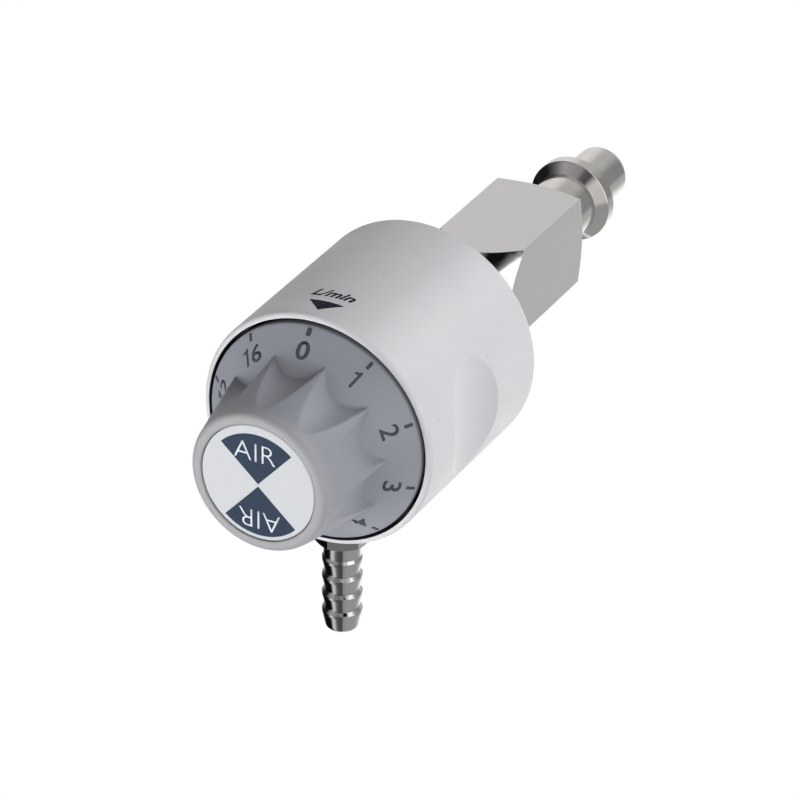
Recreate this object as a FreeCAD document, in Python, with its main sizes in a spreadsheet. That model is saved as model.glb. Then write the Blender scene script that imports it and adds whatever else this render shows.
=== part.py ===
"""Wall-outlet flowmeter for medical air, with a ten-step selector dial.

The flow axis lies along Y: the plug-in probe points to +Y and the dial faces -Y. Z is up and the hose
tail points down. The origin is the centre of the rear face of the probe's locking flange.
"""
import FreeCAD, Part
import math
import os

import Sketcher

doc = FreeCAD.newDocument("air_flowmeter")
V = FreeCAD.Vector
sheet = doc.addObject("Spreadsheet::Sheet", "sizes")

SIZES = {
    # plug-in probe
    "tip_length": 13.9,
    "tip_radius": 6.2,
    "tip_round": 1.6,
    "flange_radius": 9.4,
    "flange_rim": 2.5,
    "flange_cone": 1.9,
    "flange_round": 0.25,
    "neck_radius": 7.2,
    "neck_length": 12.0,
    "probe_thread_radius": 5.0,
    "probe_thread_length": 9.0,
    "probe_bore_radius": 2.0,
    "probe_mouth_chamfer": 0.7,
    "probe_groove_radius": 6.1,
    "probe_seal_section": 0.5,
    # square block
    "block_width": 20.0,
    "block_length": 27.4,
    "block_edge_turn": 1.4,
    "block_face_radius": 10.0,
    "block_cone_length": 7.4,
    "spigot_radius": 9.0,
    "spigot_length": 12.0,
    "block_thread_radius": 6.5,
    "block_thread_length": 13.0,
    "block_bore_radius": 2.5,
    "filter_radius": 3.6,
    "filter_length": 3.0,
    # housing
    "housing_radius": 26.0,
    "housing_length": 45.5,
    "housing_wall": 2.0,
    "housing_back": 2.5,
    "housing_front_round": 1.2,
    "housing_rear_round": 1.0,
    "mouth_depth": 4.0,
    "rim_width": 1.3,
    "rim_inner_round": 0.2,
    "dish_radius": 14.8,
    "dish_depth": 3.4,
    "dish_from_front": 19.5,
    "boss_stand": 6.5,
    "boss_radius": 9.0,
    # valve body
    "body_gap": 0.6,
    "body_setback": 5.0,
    "collar_length": 3.0,
    "collar_gap": 0.3,
    "chamber_radius": 10.0,
    "chamber_depth": 3.6,
    "gallery_radius": 1.6,
    "gallery_offset": 4.4,
    "seat_pocket_radius": 2.5,
    "seat_pocket_depth": 6.4,
    "outlet_radius": 1.2,
    "groove_radius": 11.7,
    "seal_section": 0.7,
    "seal_side_room": 0.2,
    "inlet_groove_radius": 7.7,
    "port_room": 2.0,
    "pilot_end_room": 0.4,
    # front cover
    "cover_inset": 0.2,
    "cover_thickness": 2.5,
    "cover_hub_radius": 6.5,
    "cover_hub_length": 4.4,
    "shaft_seal_section": 0.8,
    "shaft_seal_forward": 1.3,
    "cover_screw_count": 3,
    "cover_socket_width": 2.5,
    "cover_screw_edge": 2.9,
    "cover_screw_radius": 1.5,
    "cover_screw_length": 8.0,
    "cover_screw_head_radius": 2.75,
    "cover_screw_head_length": 2.0,
    "cover_screw_clock": 15.0,
    "screw_hole_room": 0.1,
    "screw_end_room": 0.5,
    # dial and knob
    "dial_gap": 0.75,
    "dial_rear": 1.5,
    "dial_forward": 0.3,
    "dial_edge_round": 0.3,
    "skirt_depth": 4.4,
    "skirt_wall": 2.8,
    "grip_wall": 2.0,
    "grip_root_radius": 18.9,
    "grip_front_radius": 15.1,
    "knob_length": 23.4,
    "knob_front_round": 1.4,
    "knob_wall": 2.4,
    "scoop_radius": 7.6,
    "scoop_run_out": 20.8,
    "scoop_root_radius": 15.5,
    "index_clock": 3.0,
    "positions": 10,
    "hub_radius": 6.2,
    "hub_from_front": 19.2,
    "label_radius": 12.7,
    "label_thickness": 0.8,
    "label_recess": 1.0,
    "label_gap": 0.15,
    "label_edge_round": 0.2,
    "field_radius": 11.4,
    "field_depth": 0.15,
    "field_tip": 0.25,
    "field_drop": 0.5,
    # spindle and selector
    "spindle_radius": 3.0,
    "running_gap": 0.05,
    "slip_gap": 0.08,
    "spindle_front": 19.0,
    "flat_depth": 0.6,
    "shoulder_radius": 4.5,
    "shoulder_length": 0.5,
    "disc_room": 0.1,
    "disc_radius": 9.6,
    "disc_thickness": 1.6,
    "orifice_circle": 7.2,
    "orifice_smallest": 0.25,
    "orifice_step": 0.07,
    "clip_radius": 4.4,
    "clip_thickness": 0.5,
    "clip_groove_radius": 2.3,
    "clip_land": 0.6,
    "pilot_radius": 2.0,
    "pilot_length": 4.7,
    "seat_outer_radius": 2.4,
    "seat_bore_radius": 1.1,
    "seat_length": 2.3,
    "spring_wire": 0.25,
    "spring_turns": 6,
    # click mechanism
    "wheel_radius": 9.0,
    "wheel_thickness": 2.0,
    "wheel_gap": 0.3,
    "notch_radius": 1.4,
    "notch_circle": 9.3,
    "leaf_thickness": 0.5,
    "leaf_room": 0.3,
    "nose_radius": 1.2,
    "leaf_reach": 4.0,
    "leaf_foot": 10.5,
    "leg_width": 2.0,
    "foot_width": 5.0,
    "click_screw_radius": 1.0,
    "click_screw_head": 1.9,
    "click_screw_length": 2.6,
    # knob screw
    "knob_screw_radius": 1.5,
    "knob_screw_head": 2.8,
    "knob_screw_length": 9.0,
    "knob_screw_socket": 2.0,
    # lock nut
    "washer_radius": 13.0,
    "washer_thickness": 0.8,
    "nut_width": 24.0,
    "nut_thickness": 5.0,
    "hex_face_part": 0.97,
    "hex_chamfer": 30,
    # hose tail
    "nozzle_from_front": 11.05,
    "nozzle_thread_radius": 4.0,
    "nozzle_thread_length": 6.6,
    "nozzle_seat_depth": 0.4,
    "nozzle_seat_radius": 5.4,
    "nozzle_washer": 1.0,
    "nozzle_collar_radius": 4.9,
    "nozzle_hole_gap": 0.4,
    "hex_width": 11.0,
    "hex_gap": 1.0,
    "hex_length": 4.2,
    "flare_radius": 1.2,
    "tail_radius": 3.9,
    "barb_radius": 4.23,
    "root_radius": 3.6,
    "tail_length": 4.15,
    "barb_pitch": 4.18,
    "barb_land": 0.6,
    "barb_back": 0.6,
    "barb_count": 4,
    "nose_length": 0.8,
    "nose_end_radius": 3.4,
    "nose_round": 0.7,
    "nozzle_bore_radius": 1.6,
}
for row, (alias, value) in enumerate(SIZES.items(), start=1):
    sheet.set(f"A{row}", alias)
    sheet.set(f"B{row}", str(value))
    sheet.setAlias(f"B{row}", alias)
doc.recompute()

# Places along Y, each chained from its neighbour
neck_rear = "(-sizes.flange_rim - sizes.flange_cone)"
block_rear = f"({neck_rear} - sizes.neck_length)"
block_corner = f"({block_rear} - sizes.block_length)"
spigot_rear = f"({block_corner} - sizes.block_cone_length)"
boss_end = f"({spigot_rear} - sizes.spigot_length)"
housing_rear = f"({boss_end} - sizes.boss_stand)"
housing_front = f"({housing_rear} - sizes.housing_length)"
body_rear = f"({housing_rear} - sizes.housing_back)"
body_front = f"({housing_front} + sizes.body_setback)"
chamber_floor = f"({body_front} + sizes.chamber_depth)"
cover_front = f"({body_front} - sizes.cover_thickness)"
cover_hub_front = f"({cover_front} - sizes.cover_hub_length)"
wheel_rear = f"({cover_hub_front} - sizes.wheel_gap)"
wheel_front = f"({wheel_rear} - sizes.wheel_thickness)"
knob_front = f"({housing_front} - sizes.knob_length)"
recess_floor = f"({knob_front} + sizes.label_recess)"
hub_front = f"({housing_front} - sizes.hub_from_front)"
spindle_front = f"({housing_front} - sizes.spindle_front)"
shoulder_front = f"({body_front} + sizes.disc_room)"
disc_front = f"({shoulder_front} + sizes.shoulder_length)"
disc_rear = f"({disc_front} + sizes.disc_thickness)"
clip_rear = f"({disc_rear} + sizes.clip_thickness)"
pilot_front = f"({clip_rear} + sizes.clip_land)"
nozzle_y = f"({housing_front} + sizes.nozzle_from_front)"
seat_front = f"({disc_rear} + sizes.running_gap)"
seat_rear = f"({seat_front} + sizes.seat_length)"
mouth_radius = "(sizes.housing_radius - sizes.rim_width)"
bore_radius = "(sizes.housing_radius - sizes.housing_wall)"
dial_radius = f"({mouth_radius} - sizes.dial_gap)"
body_radius = "(sizes.housing_radius - sizes.dish_depth - sizes.housing_wall - sizes.body_gap)"
cover_radius = f"({body_radius} - sizes.cover_inset)"
cover_screw_circle = f"({cover_radius} - sizes.cover_screw_edge)"
shaft_hole = "(sizes.spindle_radius + sizes.running_gap)"
nozzle_seat = f"({body_radius} - sizes.nozzle_seat_depth)"
thread_end = f"({boss_end} - sizes.block_thread_length)"


def number(expression):
    """Present value of an expression on the sizes."""
    return float(sheet.evalExpression(str(expression)))


def part_body(name):
    """A new single-solid piece whose label names its file."""
    body = doc.addObject("PartDesign::Body", name)
    body.Label = name
    return body


def sketch_on(body, name, role, offset=None):
    """Sketch on one of the body's own origin planes, moved along its normal by offset."""
    sketch = body.newObject("Sketcher::SketchObject", name)
    plane = next(f for f in body.Origin.OriginFeatures if f.Role == role)
    sketch.AttachmentSupport = [(plane, "")]
    sketch.MapMode = "FlatFace"
    if offset is not None:
        sketch.setExpression("AttachmentOffset.Base.z", str(offset))
    return sketch


def place_point(sketch, geometry, end, across, up):
    """Hold one point of the sketch at two expressions, measured from the sketch's origin."""
    for kind, expression in (("DistanceX", across), ("DistanceY", up)):
        index = sketch.addConstraint(Sketcher.Constraint(kind, -1, 1, geometry, end, number(expression)))
        sketch.setExpression(f"Constraints[{index}]", str(expression))


def outline(sketch, points):
    """Closed outline through points given as pairs of expressions."""
    start = len(sketch.Geometry)
    here = [V(number(x), number(y), 0) for x, y in points]
    count = len(points)
    for i in range(count):
        sketch.addGeometry(Part.LineSegment(here[i], here[(i + 1) % count]), False)
    for i in range(count):
        sketch.addConstraint(Sketcher.Constraint("Coincident", start + i, 2, start + (i + 1) % count, 1))
        place_point(sketch, start + i, 1, *points[i])


def circle(sketch, across, up, radius):
    """Circle with its centre and radius held at expressions."""
    centre = V(number(across), number(up), 0)
    index = sketch.addGeometry(Part.Circle(centre, V(0, 0, 1), number(radius)), False)
    for kind, expression in (("DistanceX", across), ("DistanceY", up)):
        if abs(number(expression)) < 1e-9:
            axis = -2 if kind == "DistanceX" else -1
            sketch.addConstraint(Sketcher.Constraint("PointOnObject", index, 3, axis))
            continue
        held = sketch.addConstraint(Sketcher.Constraint(kind, -1, 1, index, 3, number(expression)))
        sketch.setExpression(f"Constraints[{held}]", str(expression))
    held = sketch.addConstraint(Sketcher.Constraint("Radius", index, number(radius)))
    sketch.setExpression(f"Constraints[{held}]", str(radius))
    return index


def turned(body, name, points, kind="PartDesign::Revolution", axis="H_Axis"):
    """Solid or cut of revolution about Y (H_Axis) or Z (V_Axis); points are (place, radius)."""
    sketch = sketch_on(body, name + "_profile", "YZ_Plane")
    outline(sketch, [point[::-1] for point in points] if axis == "V_Axis" else points)
    feature = body.newObject(kind, name)
    feature.Profile = sketch
    feature.ReferenceAxis = (sketch, [axis])
    feature.Angle = 360.0
    body.Tip = feature
    return feature


def pad(body, name, sketch, length, flipped=False):
    """Pad along the sketch's normal, or against it when flipped."""
    feature = body.newObject("PartDesign::Pad", name)
    feature.Profile = sketch
    feature.setExpression("Length", str(length))
    feature.Reversed = flipped
    body.Tip = feature
    return feature


def pocket(body, name, sketch, length=None, flipped=False):
    """Pocket against the sketch's normal, or along it when flipped; both ways without a length."""
    feature = body.newObject("PartDesign::Pocket", name)
    feature.Profile = sketch
    if length is None:
        feature.Type = "ThroughAll"
        feature.Midplane = True
    else:
        feature.setExpression("Length", str(length))
        feature.Reversed = flipped
    body.Tip = feature
    return feature


def around_y(body, name, features, count):
    """Polar pattern of features about the flow axis."""
    pattern = body.newObject("PartDesign::PolarPattern", name)
    pattern.Originals = features
    axis = next(f for f in body.Origin.OriginFeatures if f.Role == "Y_Axis")
    pattern.Axis = (axis, [""])
    pattern.Angle = 360.0
    pattern.setExpression("Occurrences", str(count))
    body.Tip = pattern
    return pattern


def clock(radius, degrees):
    """Sketch coordinates of a point at a radius and a clock angle seen from the dial side."""
    return f"({radius}) * sin({degrees})", f"({radius}) * cos({degrees})"


def hexagon(sketch, width, centre=("0", "0")):
    """Hexagon of a given width across flats, with two flats square to the sketch's X axis."""
    across, up = centre
    half = f"({width}) / 2"
    corner = f"({width}) / 2 / cos(30)"
    places = [(half, f"{corner} / 2"), ("0", corner), (f"-{half}", f"{corner} / 2"),
              (f"-{half}", f"-{corner} / 2"), ("0", f"-{corner}"), (half, f"-{corner} / 2")]
    outline(sketch, [(f"{across} + ({x})", f"{up} + ({y})") for x, y in places])


def arc_at_origin(sketch, radius, start, end):
    """Arc about the sketch's origin with its radius held at an expression; angles in radians."""
    whole = Part.Circle(V(0, 0, 0), V(0, 0, 1), number(radius))
    arc = sketch.addGeometry(Part.ArcOfCircle(whole, start, end), False)
    sketch.addConstraint(Sketcher.Constraint("Coincident", arc, 3, -1, 1))
    held = sketch.addConstraint(Sketcher.Constraint("Radius", arc, number(radius)))
    sketch.setExpression(f"Constraints[{held}]", str(radius))
    return arc


def d_shape(sketch):
    """Bore for the flatted spindle: a round with a flat on its upper side."""
    radius = "sizes.spindle_radius + sizes.slip_gap"
    level = "sizes.spindle_radius - sizes.flat_depth + sizes.slip_gap"
    lift = math.asin(number(level) / number(radius))
    arc = arc_at_origin(sketch, radius, math.pi - lift, 2 * math.pi + lift)
    half = number(radius) * math.cos(lift)
    flat = sketch.addGeometry(Part.LineSegment(V(half, number(level), 0), V(-half, number(level), 0)), False)
    sketch.addConstraint(Sketcher.Constraint("Coincident", arc, 1, flat, 2))
    sketch.addConstraint(Sketcher.Constraint("Coincident", arc, 2, flat, 1))
    sketch.addConstraint(Sketcher.Constraint("Horizontal", flat))
    held = sketch.addConstraint(Sketcher.Constraint("DistanceY", -1, 1, flat, 1, number(level)))
    sketch.setExpression(f"Constraints[{held}]", level)


def quadrant(sketch, way):
    """Quarter sector of the gas label, upper (1) or lower (-1), with its tip just off the centre."""
    reach = "((sqrt(2 * sizes.field_radius ^ 2 - sizes.field_tip ^ 2) - sizes.field_tip) / 2)"
    side = number(reach)
    tip = V(0, way * number("sizes.field_tip"), 0)
    ends = [V(side, tip.y + way * side, 0), V(-side, tip.y + way * side, 0)]
    ends = ends[::way]
    angles = [math.atan2(end.y, end.x) % (2 * math.pi) for end in ends]
    arc = arc_at_origin(sketch, "sizes.field_radius", *angles)
    first = sketch.addGeometry(Part.LineSegment(tip, ends[0]), False)
    second = sketch.addGeometry(Part.LineSegment(ends[1], tip), False)
    sketch.addConstraint(Sketcher.Constraint("Coincident", first, 2, arc, 1))
    sketch.addConstraint(Sketcher.Constraint("Coincident", arc, 2, second, 1))
    sketch.addConstraint(Sketcher.Constraint("Coincident", second, 2, first, 1))
    place_point(sketch, first, 1, "0", f"{way} * sizes.field_tip")
    for line, end, hand in ((first, 2, way), (second, 1, -way)):
        held = sketch.addConstraint(Sketcher.Constraint("DistanceX", -1, 1, line, end, hand * side))
        sketch.setExpression(f"Constraints[{held}]", f"{hand} * {reach}")


def rounded(body, name, fillet, place, radius, letter="y"):
    """Fillet on the circular edges of the newest feature at a place along an axis and a radius."""
    doc.recompute()
    base = body.Tip
    edges = []
    for index, edge in enumerate(base.Shape.Edges, start=1):
        if not isinstance(edge.Curve, Part.Circle):
            continue
        if abs(edge.Curve.Radius - number(radius)) > 1e-4:
            continue
        if abs(getattr(edge.Curve.Center, letter) - number(place)) < 1e-4:
            edges.append(f"Edge{index}")
    feature = body.newObject("PartDesign::Fillet", name)
    feature.Base = (base, edges)
    feature.setExpression("Radius", fillet)
    body.Tip = feature


def hexagon_ends_turned(body, name, first, second, width, axis="H_Axis"):
    """Chamfers turned on the corners at both ends of a hexagon."""
    flat = f"({width}) / 2 * sizes.hex_face_part"
    beyond = f"({width})"
    rise = f"({beyond} - {flat}) * tan(sizes.hex_chamfer)"
    way = 1 if number(second) > number(first) else -1
    for end, inward, label in ((first, way, "first"), (second, -way, "second")):
        turned(body, f"{name}_{label}", [
            (end, flat),
            (f"{end} + {inward} * {rise}", beyond),
            (f"{end} - {inward}", beyond),
            (f"{end} - {inward}", flat),
        ], kind="PartDesign::Groove", axis=axis)


def turn_with_index(piece):
    """Turn a piece about the flow axis to the clock angle of the dial's index."""
    piece.Placement = FreeCAD.Placement(V(0, 0, 0), FreeCAD.Rotation(V(0, -1, 0), 1))
    piece.setExpression(".Placement.Rotation.Angle", "sizes.index_clock")


SEALS = []


def ring_seal(name, ring_radius, section, place):
    """O-ring about the flow axis at a place along it."""
    ring = doc.addObject("Part::Torus", name)
    ring.Label = name
    ring.setExpression("Radius1", ring_radius)
    ring.setExpression("Radius2", section)
    ring.Placement = FreeCAD.Placement(V(0, 0, 0), FreeCAD.Rotation(V(1, 0, 0), 90))
    ring.setExpression(".Placement.Base.y", place)
    SEALS.append(ring)


# Plug-in probe: turned from one bar, with its thread screwed into the block
probe = part_body("probe")
turned(probe, "probe_turning", [
    ("sizes.tip_length", "sizes.probe_bore_radius + sizes.probe_mouth_chamfer"),
    ("sizes.tip_length", "sizes.tip_radius"),
    ("0", "sizes.tip_radius"),
    ("0", "sizes.flange_radius"),
    ("-sizes.flange_rim", "sizes.flange_radius"),
    (neck_rear, "sizes.neck_radius"),
    (block_rear, "sizes.neck_radius"),
    (block_rear, "sizes.probe_thread_radius"),
    (f"{block_rear} - sizes.probe_thread_length", "sizes.probe_thread_radius"),
    (f"{block_rear} - sizes.probe_thread_length", "sizes.probe_bore_radius"),
    ("sizes.tip_length - sizes.probe_mouth_chamfer", "sizes.probe_bore_radius"),
])
rounded(probe, "tip_rounding", "sizes.tip_round", "sizes.tip_length", "sizes.tip_radius")
rounded(probe, "flange_edge", "sizes.flange_round", "-sizes.flange_rim", "sizes.flange_radius")

# Square block: milled to a square, both ends turned
block = part_body("inlet_block")
square = sketch_on(block, "square", "XZ_Plane", f"-({block_rear})")
half_width = "sizes.block_width / 2"
outline(square, [(half_width, half_width), (f"-{half_width}", half_width),
                 (f"-{half_width}", f"-{half_width}"), (half_width, f"-{half_width}")])
pad(block, "bar", square, "sizes.block_length + sizes.block_cone_length")
corner_radius = "(sizes.block_width / 2 * sqrt(2))"
turned(block, "ends_turned", [
    (block_rear, "sizes.block_face_radius"),
    (f"{block_rear} - sizes.block_edge_turn", corner_radius),
    (f"{block_rear} - sizes.block_edge_turn", f"{corner_radius} + 1"),
    (f"{block_rear} + 1", f"{corner_radius} + 1"),
    (f"{block_rear} + 1", "sizes.block_face_radius"),
], kind="PartDesign::Groove")
turned(block, "front_cone", [
    (block_corner, corner_radius),
    (spigot_rear, "sizes.spigot_radius"),
    (f"{spigot_rear} - 1", "sizes.spigot_radius"),
    (f"{spigot_rear} - 1", f"{corner_radius} + 1"),
    (block_corner, f"{corner_radius} + 1"),
], kind="PartDesign::Groove")
turned(block, "spigot", [
    (f"{spigot_rear} + 1", "0"),
    (f"{spigot_rear} + 1", "sizes.spigot_radius"),
    (boss_end, "sizes.spigot_radius"),
    (boss_end, "sizes.block_thread_radius"),
    (thread_end, "sizes.block_thread_radius"),
    (thread_end, "0"),
])
filter_front = f"({block_rear} - sizes.probe_thread_length - sizes.filter_length)"
turned(block, "bores", [
    (f"{block_rear} + 1", "0"),
    (f"{block_rear} + 1", "sizes.probe_thread_radius"),
    (f"{block_rear} - sizes.probe_thread_length", "sizes.probe_thread_radius"),
    (f"{block_rear} - sizes.probe_thread_length", "sizes.filter_radius"),
    (filter_front, "sizes.filter_radius"),
    (filter_front, "sizes.block_bore_radius"),
    (f"{thread_end} - 1", "sizes.block_bore_radius"),
    (f"{thread_end} - 1", "0"),
], kind="PartDesign::Groove")
probe_groove_half = "(sizes.probe_seal_section + sizes.seal_side_room)"
turned(block, "probe_groove", [
    (f"{block_rear} + 1", f"sizes.probe_groove_radius - {probe_groove_half}"),
    (f"{block_rear} + 1", f"sizes.probe_groove_radius + {probe_groove_half}"),
    (f"{block_rear} - 2 * sizes.probe_seal_section", f"sizes.probe_groove_radius + {probe_groove_half}"),
    (f"{block_rear} - 2 * sizes.probe_seal_section", f"sizes.probe_groove_radius - {probe_groove_half}"),
], kind="PartDesign::Groove")
ring_seal("probe_oring", "sizes.probe_groove_radius", "sizes.probe_seal_section",
          f"{block_rear} - sizes.probe_seal_section")

# Sintered filter disc at the bottom of the probe's thread
inlet_filter = part_body("inlet_filter")
filter_disc = sketch_on(inlet_filter, "filter_disc", "XZ_Plane",
                        f"-({block_rear} - sizes.probe_thread_length)")
circle(filter_disc, "0", "0", "sizes.filter_radius")
pad(inlet_filter, "sinter", filter_disc, "sizes.filter_length")

# Housing: a moulded cup with its floor at the rear and a thumb dish in each side
housing = part_body("housing_shell")
turned(housing, "cup", [
    (housing_front, "0"),
    (housing_front, "sizes.housing_radius"),
    (housing_rear, "sizes.housing_radius"),
    (housing_rear, "0"),
])
turned(housing, "hollow", [
    (f"{housing_front} - 1", "0"),
    (f"{housing_front} - 1", mouth_radius),
    (f"{housing_front} + sizes.mouth_depth", mouth_radius),
    (f"{housing_front} + sizes.mouth_depth", bore_radius),
    (body_rear, bore_radius),
    (body_rear, f"sizes.boss_radius + sizes.slip_gap"),
    (f"{housing_rear} + 1", f"sizes.boss_radius + sizes.slip_gap"),
    (f"{housing_rear} + 1", "0"),
], kind="PartDesign::Groove")
dish_y = f"({housing_front} + sizes.dish_from_front)"
dish_floor = "(sizes.housing_radius - sizes.dish_depth)"
dish_x = f"({dish_floor} + sizes.dish_radius)"
for side in ("", "-"):
    hand = "left" if side else "right"
    bulge = sketch_on(housing, f"dish_wall_{hand}", "XY_Plane")
    circle(bulge, f"{side}{dish_x}", dish_y, "sizes.dish_radius + sizes.housing_wall")
    wall = pad(housing, f"dish_wall_pad_{hand}", bulge,
               f"2 * sqrt(sizes.housing_radius ^ 2 - ({dish_floor} - sizes.housing_wall) ^ 2) + 2")
    wall.Midplane = True
    dish = sketch_on(housing, f"dish_{hand}", "XY_Plane")
    circle(dish, f"{side}{dish_x}", dish_y, "sizes.dish_radius")
    pocket(housing, f"dish_cut_{hand}", dish)
turned(housing, "outside_turned", [
    (f"{housing_front} - 1", "sizes.housing_radius"),
    (f"{housing_front} - 1", "3 * sizes.housing_radius"),
    (f"{housing_rear} + 1", "3 * sizes.housing_radius"),
    (f"{housing_rear} + 1", "sizes.housing_radius"),
], kind="PartDesign::Groove")
outlet_hole = sketch_on(housing, "outlet_hole", "XY_Plane")
circle(outlet_hole, "0", nozzle_y, "sizes.nozzle_collar_radius + sizes.nozzle_hole_gap")
pocket(housing, "outlet_hole_cut", outlet_hole, "sizes.housing_radius + 1")
rounded(housing, "front_rim", "sizes.housing_front_round", housing_front, "sizes.housing_radius")
rounded(housing, "mouth_rim", "sizes.rim_inner_round", housing_front, mouth_radius)
rounded(housing, "rear_rim", "sizes.housing_rear_round", housing_rear, "sizes.housing_radius")

# Valve body: turned brass, with the gas chamber in its front and a threaded boss at its rear
valve_body = part_body("valve_body")
collar_radius = f"({bore_radius} - sizes.collar_gap)"
port_floor = f"({thread_end} - sizes.port_room)"
pilot_hole_end = f"({pilot_front} + sizes.pilot_length + sizes.pilot_end_room)"
turned(valve_body, "turning", [
    (body_front, "0"),
    (body_front, collar_radius),
    (f"{body_front} + sizes.collar_length", collar_radius),
    (f"{body_front} + sizes.collar_length", body_radius),
    (body_rear, body_radius),
    (body_rear, "sizes.boss_radius"),
    (boss_end, "sizes.boss_radius"),
    (boss_end, "0"),
])
turned(valve_body, "inlet_port", [
    (f"{boss_end} + 1", "0"),
    (f"{boss_end} + 1", "sizes.block_thread_radius"),
    (port_floor, "sizes.block_thread_radius"),
    (port_floor, "0"),
], kind="PartDesign::Groove")
turned(valve_body, "chamber", [
    (f"{body_front} - 1", "0"),
    (f"{body_front} - 1", "sizes.chamber_radius"),
    (chamber_floor, "sizes.chamber_radius"),
    (chamber_floor, "sizes.pilot_radius + sizes.running_gap"),
    (pilot_hole_end, "sizes.pilot_radius + sizes.running_gap"),
    (pilot_hole_end, "0"),
], kind="PartDesign::Groove")
groove_half = "(sizes.seal_section + sizes.seal_side_room)"
for name, face, ring in (("cover_groove", body_front, "sizes.groove_radius"),
                         ("inlet_groove", boss_end, "sizes.inlet_groove_radius")):
    depth = "2 * sizes.seal_section" if face == body_front else "-2 * sizes.seal_section"
    outside = "- 1" if face == body_front else "+ 1"
    turned(valve_body, name, [
        (f"{face} {outside}", f"{ring} - {groove_half}"),
        (f"{face} {outside}", f"{ring} + {groove_half}"),
        (f"{face} + {depth}", f"{ring} + {groove_half}"),
        (f"{face} + {depth}", f"{ring} - {groove_half}"),
    ], kind="PartDesign::Groove")
seat_pocket = sketch_on(valve_body, "seat_pocket", "XZ_Plane", f"-{chamber_floor}")
circle(seat_pocket, "0", "-sizes.orifice_circle", "sizes.seat_pocket_radius")
pocket(valve_body, "seat_pocket_bore", seat_pocket, "sizes.seat_pocket_depth")
gallery = sketch_on(valve_body, "gallery", "XZ_Plane", f"-{chamber_floor}")
circle(gallery, "0", "sizes.gallery_offset", "sizes.gallery_radius")
pocket(valve_body, "gallery_bore", gallery, f"{port_floor} - {chamber_floor}")
outlet = sketch_on(valve_body, "outlet", "XY_Plane", "-sizes.orifice_circle")
circle(outlet, "0", nozzle_y, "sizes.outlet_radius")
pocket(valve_body, "outlet_bore", outlet, f"{nozzle_seat} - sizes.orifice_circle")
port = sketch_on(valve_body, "nozzle_port", "XY_Plane", f"sizes.nozzle_thread_length - {nozzle_seat}")
circle(port, "0", nozzle_y, "sizes.nozzle_thread_radius")
pocket(valve_body, "nozzle_port_bore", port, "sizes.housing_radius")
seat = sketch_on(valve_body, "nozzle_seat", "XY_Plane", f"-{nozzle_seat}")
circle(seat, "0", nozzle_y, "sizes.nozzle_seat_radius")
pocket(valve_body, "nozzle_seat_cut", seat, "sizes.housing_radius")
tapped = sketch_on(valve_body, "cover_thread", "XZ_Plane", f"-{body_front}")
circle(tapped, *clock(cover_screw_circle, "sizes.cover_screw_clock - sizes.index_clock"),
       "sizes.cover_screw_radius")
first_tap = pocket(valve_body, "cover_thread_bore", tapped, "sizes.cover_screw_length")
around_y(valve_body, "cover_threads", [first_tap], "sizes.cover_screw_count")

# Front cover: closes the chamber and carries the spindle; the selector side is turned with the index
cover = part_body("front_cover")
turned(cover, "cover_turning", [
    (cover_hub_front, shaft_hole),
    (cover_hub_front, "sizes.cover_hub_radius"),
    (cover_front, "sizes.cover_hub_radius"),
    (cover_front, cover_radius),
    (body_front, cover_radius),
    (body_front, shaft_hole),
])
seal_y = f"({cover_front} - sizes.shaft_seal_forward)"
seal_half = "(sizes.shaft_seal_section + sizes.seal_side_room)"
turned(cover, "shaft_seal_groove", [
    (f"{seal_y} - {seal_half}", f"{shaft_hole} - 1"),
    (f"{seal_y} - {seal_half}", f"{shaft_hole} + 2 * sizes.shaft_seal_section"),
    (f"{seal_y} + {seal_half}", f"{shaft_hole} + 2 * sizes.shaft_seal_section"),
    (f"{seal_y} + {seal_half}", f"{shaft_hole} - 1"),
], kind="PartDesign::Groove")
screw_hole = sketch_on(cover, "screw_hole", "XZ_Plane", f"-{cover_front}")
circle(screw_hole, *clock(cover_screw_circle, "sizes.cover_screw_clock"),
       "sizes.cover_screw_radius + sizes.screw_hole_room")
first_hole = pocket(cover, "screw_hole_bore", screw_hole, "sizes.cover_thickness")
around_y(cover, "screw_holes", [first_hole], "sizes.cover_screw_count")
leaf_z = "(sizes.wheel_radius + sizes.leaf_room)"
foot_x = "(-sizes.leaf_foot + sizes.foot_width / 2)"
foot_z = f"({leaf_z} + sizes.foot_width / 2)"
leaf_hole = sketch_on(cover, "leaf_screw_hole", "XZ_Plane", f"-{cover_front}")
circle(leaf_hole, foot_x, foot_z, "sizes.click_screw_radius")
pocket(cover, "leaf_screw_bore", leaf_hole, "sizes.click_screw_length - sizes.leaf_thickness")
turn_with_index(cover)

# Cover screws: three cheese heads with a hexagon socket
cover_screws = part_body("cover_screws")
cover_screws.AllowCompound = True
shank = sketch_on(cover_screws, "shank", "XZ_Plane", f"-{cover_front}")
screw_at = clock(cover_screw_circle, "sizes.cover_screw_clock")
circle(shank, *screw_at, "sizes.cover_screw_radius")
shank_pad = pad(cover_screws, "shank_pad", shank,
                "sizes.cover_thickness + sizes.cover_screw_length - sizes.screw_end_room", True)
head = sketch_on(cover_screws, "head", "XZ_Plane", f"-{cover_front}")
circle(head, *screw_at, "sizes.cover_screw_head_radius")
head_pad = pad(cover_screws, "head_pad", head, "sizes.cover_screw_head_length")
socket = sketch_on(cover_screws, "socket", "XZ_Plane", f"sizes.cover_screw_head_length - {cover_front}")
hexagon(socket, "sizes.cover_socket_width", screw_at)
socket_cut = pocket(cover_screws, "socket_cut", socket, "sizes.cover_screw_head_length / 2")
around_y(cover_screws, "three_screws", [shank_pad, head_pad, socket_cut], "sizes.cover_screw_count")
turn_with_index(cover_screws)

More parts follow.
